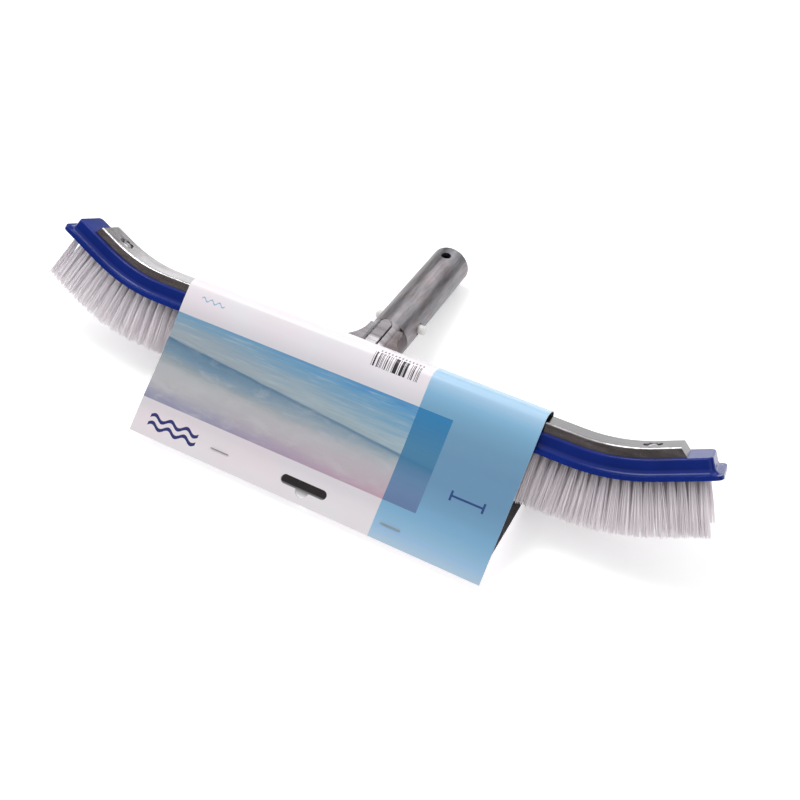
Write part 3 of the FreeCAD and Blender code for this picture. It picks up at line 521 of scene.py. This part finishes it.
# ------------------------------------------------------------------------- tufts
def mesh_object(name, verts, faces_quads, mats, smooth=True):
    me = bpy.data.meshes.new(name)
    me.vertices.add(len(verts))
    me.vertices.foreach_set("co", np.asarray(verts, np.float32).ravel())
    faces_quads = np.asarray(faces_quads, np.int32)
    me.loops.add(faces_quads.size)
    me.loops.foreach_set("vertex_index", faces_quads.ravel())
    me.polygons.add(len(faces_quads))
    me.polygons.foreach_set("loop_start", np.arange(0, faces_quads.size, faces_quads.shape[1], dtype=np.int32))
    me.update(calc_edges=True)
    if smooth:
        me.polygons.foreach_set("use_smooth", np.ones(len(faces_quads), bool))
    ob = bpy.data.objects.new(name, me)
    scene.collection.objects.link(ob)
    for mt in mats:
        me.materials.append(mt)
    return ob


PITCH = 5.9
RIVETS = [-191.0, -112.0, -35.0, 35.0, 112.0, 191.0]
outer_s = [k * PITCH for k in range(-37, 38)]
inner_s = [(k + 0.5) * PITCH for k in range(-37, 37)]
inner_s = [s for s in inner_s if min(abs(s - r) for r in RIVETS) > 4.3]
ROWS = [("front_outer", outer_s, -9.1, -13.6, 66), ("front_inner", inner_s, -3.1, -4.5, 48),
        ("back_inner", inner_s, 3.1, 4.5, 40), ("back_outer", outer_s, 9.1, 13.6, 48)]
FREE = 32.4


def tuft_rows():
    rng = np.random.default_rng(4511)
    sides = 4
    hs = np.array([2.0, -0.5, -9.0, -19.0, -1.0])     # last one is replaced by the tip height
    for row_name, ss, y_root, y_tip, count in ROWS:
        V_all, T_all, A_all, F_all = [], [], [], []
        base = 0
        for s in ss:
            th = lean(s)
            ox, oy, oz = on_path(s)
            ct, st = math.cos(th), math.sin(th)
            bend = math.exp(-((abs(s) - 170.0) / 32.0) ** 4)      # the tips open out round the bend
            lean_x = rng.normal(0, 0.08)          # whole-tuft wander at the tips
            lean_y = rng.normal(0, 0.15)
            tone = rng.uniform(-0.1, 0.1)
            r = 1.75 * np.sqrt(rng.uniform(0, 1, count))
            a = rng.uniform(0, 2 * math.pi, count)
            x0, y0 = r * np.cos(a), r * np.sin(a)
            spread = rng.uniform(1.45, 1.85, count)
            x1 = x0 * spread * (1.2 + 0.28 * bend) + lean_x + rng.normal(0, 0.3, count)
            y1 = y0 * spread + lean_y + rng.normal(0, 0.28, count)
            rt = np.hypot(x1, y1)
            limit = 3.5 + 0.7 * bend
            k = np.where(rt > limit, limit / rt, 1.0)
            x1, y1 = x1 * k, y1 * k
            if abs(s) > 215.0:                    # the end tufts stay square to the block's end
                x1 = np.minimum(x1 * math.copysign(1, s), 2.15) * math.copysign(1, s)
            tip = -(FREE + rng.normal(-0.15, 0.3, count).clip(-1.2, 0.25))
            bow_x = rng.normal(0, 0.16, count)
            bow_y = rng.normal(0, 0.12, count)
            rad = rng.uniform(0.15, 0.21, count)
            twist = rng.uniform(0, math.pi, count)
            tint = np.clip(0.5 + tone + rng.normal(0, 0.2, count), 0, 1)
            for i in range(count):
                rings = []
                for h in (2.0, -0.5, -8.5, -18.5, tip[i]):
                    t = max(0.0, (0.0 - h)) / FREE
                    e = t ** 0.58
                    px = x0[i] + (x1[i] - x0[i]) * e + bow_x[i] * math.sin(math.pi * min(t, 1))
                    py = y0[i] + (y1[i] - y0[i]) * e + bow_y[i] * math.sin(math.pi * min(t, 1)) \
                        + y_root + (y_tip - y_root) * (-h / FREE)
                    rings.append((px, py, h))
                for j, (px, py, h) in enumerate(rings):
                    rr = rad[i] * (0.8 if j == 4 else 1.0)
                    for q in range(sides):
                        ang = twist[i] + 2 * math.pi * q / sides
                        lx, ly, lz = px + rr * math.cos(ang), py + rr * math.sin(ang), h
                        V_all.append((ox + lx * ct - lz * st, oy + ly, oz + lx * st + lz * ct))
                        A_all.append(min(1.0, max(0.0, -h / FREE)))
                T_all.extend([tint[i]] * (sides * 5))
                for j in range(4):
                    for q in range(sides):
                        q2 = (q + 1) % sides
                        F_all.append((base + j * sides + q, base + j * sides + q2,
                                      base + (j + 1) * sides + q2, base + (j + 1) * sides + q))
                F_all.append((base, base + 1, base + 2, base + 3))
                e0 = base + 4 * sides
                F_all.append((e0 + 3, e0 + 2, e0 + 1, e0))
                base += sides * 5
        co = rows(V_all)
        ob = mesh_object("filaments_" + row_name, co, F_all, [M_NYLON])
        me = ob.data
        at = me.attributes.new("tint", "FLOAT", "POINT")
        at.data.foreach_set("value", np.asarray(T_all, np.float32))
        at = me.attributes.new("along", "FLOAT", "POINT")
        at.data.foreach_set("value", np.asarray(A_all, np.float32))
        bm = bmesh.new()
        bm.from_mesh(me)
        bmesh.ops.recalc_face_normals(bm, faces=bm.faces)
        bm.to_mesh(me)
        bm.free()
        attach(ob, "head")
        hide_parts("tufts_" + row_name)


tuft_rows()

# ------------------------------------------------------------------- card sleeve
TH = 0.5
FLAP0 = np.array([-45.5, -76.5])
FU = np.array([28.3, 77.0]) / math.hypot(28.3, 77.0)
FB = np.array([FU[1], -FU[0]])
gap = 0.7
b0, b1, b2 = FLAP0 + FB * gap, FLAP0 + FU * 17.0 + FB * gap, FLAP0 + FU * 19.6 + FB * (gap + 0.9)
MIDDLE = [tuple(FLAP0), (-31.5, -38.6), (-17.6, -1.2), (-16.3, 2.9), (-13.4, 11.2), (-10.5, 18.6),
          (-8.4, 20.6), (-5.0, 21.8), (-1.0, 22.1), (4.0, 21.6), (8.3, 20.2), (10.6, 17.8),
          (13.6, 10.6), (16.3, 3.0), (16.7, -1.5), (17.4, -16.0), (17.8, -30.8), (17.2, -33.6), (15.6, -35.6),
          (13.2, -36.9), (-12.0, -48.4), tuple(b2), tuple(b1), tuple(b0)]


def smooth_polyline(points, step=1.0, rounds=3):
    """Corner-cutting that keeps the ends, then an even resample."""
    p = np.array(points, float)
    # add points on the long runs so that cutting only softens the corners
    q = [p[0]]
    for a, b in zip(p[:-1], p[1:]):
        n = max(1, int(np.hypot(*(b - a)) // 3.0))
        for i in range(1, n + 1):
            q.append(a + (b - a) * i / n)
    p = np.array(q)
    for _ in range(rounds):
        out = [p[0]]
        for a, b in zip(p[:-1], p[1:]):
            out.append(a * 0.75 + b * 0.25)
            out.append(a * 0.25 + b * 0.75)
        out.append(p[-1])
        p = np.array(out)
    d = np.concatenate([[0], np.cumsum(np.hypot(*(p[1:] - p[:-1]).T))])
    n = int(d[-1] / step)
    t = np.linspace(0, d[-1], n + 1)
    return np.stack([np.interp(t, d, p[:, 0]), np.interp(t, d, p[:, 1])], 1), t


LINE, LV = smooth_polyline(MIDDLE)
TAN = np.gradient(LINE, axis=0)
TAN /= np.hypot(TAN[:, 0], TAN[:, 1])[:, None]
NRM = np.stack([-TAN[:, 1], TAN[:, 0]], 1)          # outside of the loop
V_END = LV[-1]


def at_v(v):
    y = np.interp(v, LV, LINE[:, 0])
    z = np.interp(v, LV, LINE[:, 1])
    ny = np.interp(v, LV, NRM[:, 0])
    nz = np.interp(v, LV, NRM[:, 1])
    return y, z, ny, nz


def first_v(test, start=0.0):
    for i, v in enumerate(LV):
        if v >= start and test(LINE[i]):
            return float(v)
    return float(V_END)


v_crest = first_v(lambda p: p[0] > 1.6)
v_eight = first_v(lambda p: p[1] < 8.0, v_crest)
v_low = first_v(lambda p: p[1] < -13.0, v_crest)


def prism_cutter(name, outline):
    bm = bmesh.new()
    lo = [bm.verts.new((x, v, -5.0)) for x, v in outline]
    hi = [bm.verts.new((x, v, 5.0)) for x, v in outline]
    bm.faces.new(lo[::-1])
    bm.faces.new(hi)
    n = len(outline)
    for i in range(n):
        j = (i + 1) % n
        bm.faces.new((lo[i], lo[j], hi[j], hi[i]))
    bmesh.ops.recalc_face_normals(bm, faces=bm.faces)
    me = bpy.data.meshes.new(name)
    bm.to_mesh(me)
    bm.free()
    ob = bpy.data.objects.new(name, me)
    scene.collection.objects.link(ob)
    return ob


def arc(cx, cy, r, a0, a1, n):
    return [(cx + r * math.cos(math.radians(a0 + (a1 - a0) * i / n)),
             cy + r * math.sin(math.radians(a0 + (a1 - a0) * i / n))) for i in range(n + 1)]


def hang_outline(v0, flip):
    """Slot with its ends rounded and a bump towards the card's edge."""
    sx, sh, sl = 1.9, 3.0, 16.0
    pts = arc(sx + sl - sh, 0, sh, -90, 90, 10) + arc(sx - sl + sh, 0, sh, 90, 270, 10)
    # bump: circle of 4.6 about (sx, -2.4), its part below -3
    a = math.degrees(math.acos(0.6 / 4.6))
    pts += arc(sx, -2.4, 4.6, -90 - a, -90 + a, 14)
    return [(x, v0 + (y if not flip else -y)) for x, y in pts][:: (-1 if flip else 1)]


def card_sleeve():
    half = 123.0
    nx = 72
    xs = np.linspace(-half, half, nx + 1)
    nv = len(LV)
    verts, faces = [], []
    for d in (TH / 2, -TH / 2):
        for v in LV:
            for x in xs:
                verts.append((x, v, d))
    row_n = nx + 1
    off = nv * row_n
    for j in range(nv - 1):
        for i in range(nx):
            a = j * row_n + i
            faces.append((a, a + 1, a + row_n + 1, a + row_n))
            b = off + a
            faces.append((b, b + row_n, b + row_n + 1, b + 1))
    for i in range(nx):
        faces.append((i + 1, i, off + i, off + i + 1))
        a = (nv - 1) * row_n + i
        faces.append((a, a + 1, off + a + 1, off + a))
    for j in range(nv - 1):
        a = j * row_n
        faces.append((a, a + row_n, off + a + row_n, off + a))
        a = j * row_n + nx
        faces.append((a + row_n, a, off + a, off + a + row_n))
    ob = mesh_object("sleeve_of_card", verts, faces, [M_PRINT, M_INSIDE, M_EDGE], smooth=True)
    cut = [prism_cutter("cut_a", hang_outline(11.2, False)),
           prism_cutter("cut_b", hang_outline(V_END - 11.2, True))]
    r = 2.5
    fw, rw = 30.5, 19.5
    notch = (arc(-fw + r, v_crest + r, r, 180, 270, 5) + arc(fw - r, v_crest + r, r, -90, 0, 5)
             + [(fw, v_eight), (rw, v_eight + 1.0)]
             + arc(rw - r, v_low - r, r, 0, 90, 5) + arc(-rw + r, v_low - r, r, 90, 180, 5)
             + [(-rw, v_eight + 1.0), (-fw, v_eight)])
    cut.append(prism_cutter("cut_c", notch))
    for c in cut:
        md = ob.modifiers.new("cut", "BOOLEAN")
        md.object = c
        md.operation = "DIFFERENCE"
        md.solver = "EXACT"
    bpy.context.view_layer.update()
    dg = bpy.context.evaluated_depsgraph_get()
    me = bpy.data.meshes.new_from_object(ob.evaluated_get(dg), preserve_all_data_layers=True, depsgraph=dg)
    ob.modifiers.clear()
    old = ob.data
    ob.data = me
    bpy.data.meshes.remove(old)
    for c in cut:
        m_old = c.data
        bpy.data.objects.remove(c)
        bpy.data.meshes.remove(m_old)
    me.name = "sleeve_of_card"
    n = len(me.vertices)
    co = np.empty(n * 3, np.float32)
    me.vertices.foreach_get("co", co)
    co = co.reshape(-1, 3).astype(float)
    # faces: outside, inside, cut edges
    nf = len(me.polygons)
    fn = np.empty(nf * 3, np.float32)
    me.polygons.foreach_get("normal", fn)
    fn = fn.reshape(-1, 3)
    idx = np.where(fn[:, 2] > 0.9, 0, np.where(fn[:, 2] < -0.9, 1, 2)).astype(np.int32)
    me.materials.clear()
    for mt in (M_PRINT, M_INSIDE, M_EDGE):
        me.materials.append(mt)
    me.polygons.foreach_set("material_index", idx)
    me.polygons.foreach_set("use_smooth", idx != 2)
    at = me.attributes.new("card", "FLOAT_VECTOR", "POINT")
    at.data.foreach_set("vector", co.astype(np.float32).ravel())
    y, z, ny, nz = at_v(co[:, 1])
    x, v, d = co[:, 0], co[:, 1], co[:, 2]
    # the card isn't quite flat: the front panel is slightly hollow, and its sides wave
    free = np.clip((v - 16) / 20, 0, 1) * np.clip((78 - v) / 20, 0, 1)
    wave = -0.9 * free * (1 - (x / 123.0) ** 2 * 0.3)
    wave += free * 0.35 * np.sin(x * 0.045 + 1.0) * np.cos(v * 0.05)
    wave = np.where(v < 100, wave, 0.0)
    off_n = d + wave
    pts = np.stack([x, y + ny * off_n, z + nz * off_n], 1)
    me.vertices.foreach_set("co", rows(pts).astype(np.float32).ravel())
    me.update()
    # sharp between the faces of the card and its cut edges
    bm = bmesh.new()
    bm.from_mesh(me)
    for e in bm.edges:
        if len(e.link_faces) == 2:
            a, b = e.link_faces
            if (a.material_index == 2) != (b.material_index == 2):
                e.smooth = False
    bm.to_mesh(me)
    bm.free()
    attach(ob, "sleeve")
    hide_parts("card_sleeve")
    return ob


card_sleeve()

# ------------------------------------------------------------------ floor, lights
me = bpy.data.meshes.new("floor")
bm = bmesh.new()
bmesh.ops.create_grid(bm, x_segments=2, y_segments=2, size=6.0)
bm.to_mesh(me)
bm.free()
floor = bpy.data.objects.new("floor", me)
scene.collection.objects.link(floor)
floor.location = (0, 0, -0.0002)
fm = Mat("floor_pale")
nf = fm.noise(fm.coords(), 3.0, 2.0)
fm.put(fm.bsdf.inputs["Base Color"], fm.ramp(nf, [(0.3, lin(247, 247, 247)), (0.7, lin(250, 250, 250))]))
fm.set(Roughness=0.85, Specular_IOR_Level=0.1, Emission_Color=(1, 1, 1, 1))
# painted shadow: in a band under the sleeve's hang slot the floor's colour is darkened towards near-black and its
# glow is cut
fx_, fy_, _ = fm.split(fm.coords())
hx = fm.math("MULTIPLY_ADD", fm.math("ABSOLUTE", fm.math("ADD", fx_, 0.0017)), -900.0, 19.0, clamp=True)
hy0 = fm.math("MULTIPLY_ADD", fy_, 150.0, 150.0 * 0.1043, clamp=True)
hy1 = fm.math("MULTIPLY_ADD", fy_, -400.0, -400.0 * 0.0875, clamp=True)
slot_shadow = fm.math("MULTIPLY", hx, fm.math("MULTIPLY", hy0, hy1))
lift = fm.math("MULTIPLY_ADD", slot_shadow, -0.34, 0.34)
fm.put(fm.bsdf.inputs["Emission Strength"], lift)
base_in = fm.bsdf.inputs["Base Color"]
pale_floor = base_in.links[0].from_socket
fm.put(base_in, fm.mix(fm.math("MULTIPLY", slot_shadow, 0.97), pale_floor, lin(46, 40, 40)))
assign(floor, fm.m)

world = bpy.data.worlds.new("studio")
scene.world = world
world.use_nodes = True
wt = world.node_tree
wt.nodes.clear()
wo = wt.nodes.new("ShaderNodeOutputWorld")
bg = wt.nodes.new("ShaderNodeBackground")
tc = wt.nodes.new("ShaderNodeTexCoord")
sp = wt.nodes.new("ShaderNodeSeparateXYZ")
rp = wt.nodes.new("ShaderNodeValToRGB")
wt.links.new(tc.outputs["Generated"], sp.inputs[0])
wt.links.new(sp.outputs[2], rp.inputs[0])
els = rp.color_ramp.elements
stops = [(0.0, 0.10), (0.12, 0.14), (0.34, 0.19), (0.5, 0.48), (0.7, 0.92), (1.0, 1.05)]
while len(els) < len(stops):
    els.new(0.5)
for e, (p_, c_) in zip(els, stops):
    e.position = p_
    e.color = (c_, c_, c_ * 1.01, 1)
wt.links.new(rp.outputs[0], bg.inputs[0])
bg.inputs[1].default_value = 0.78
wt.links.new(bg.outputs[0], wo.inputs[0])


def area(name, loc, target, size, power, color=(1, 1, 1), mirror=True):
    ld = bpy.data.lights.new(name, "AREA")
    ld.shape = "RECTANGLE"
    ld.size, ld.size_y = size
    ld.energy = power
    ld.color = color
    ob = bpy.data.objects.new(name, ld)
    scene.collection.objects.link(ob)
    ob.location = loc
    d = Vector(target) - Vector(loc)
    ob.rotation_euler = d.to_track_quat("-Z", "Y").to_euler()
    ob.visible_glossy = mirror
    return ob


area("key", (-0.6, 0.45, 1.5), (0, 0, 0), (0.7, 0.45), 8)
area("fill", (1.3, -0.7, 1.3), (0, 0, 0), (1.2, 1.2), 2.5)
area("rim", (0.1, 1.6, 1.0), (0, 0.1, 0), (1.8, 0.7), 8)
area("front", (-0.2, -1.3, 0.35), (0, 0, 0.02), (2.2, 0.5), 1.5, mirror=False)
area("strip", (-1.25, 0.45, 0.9), (0.1, 0, 0.03), (0.7, 0.2), 2.5)
low = [area("side_left", (-1.25, -0.35, 0.22), (-0.1, 0, 0.02), (0.9, 0.4), 8, mirror=False),
       area("side_right", (1.25, -0.45, 0.2), (0.1, 0, 0.02), (0.9, 0.4), 5, mirror=False)]
glint = area("strip_front", (-0.65, -1.5, 0.6), (0.0, 0, 0.03), (1.9, 0.05), 0.25)
metal = bpy.data.collections.new("metal_light")
metal.objects.link(nodes["back_casting"])
glint.light_linking.receiver_collection = metal
only = bpy.data.collections.new("bristle_light")
for ob in scene.objects:
    if ob.name.startswith("filaments_"):
        only.objects.link(ob)
for ob in low:
    ob.light_linking.receiver_collection = only
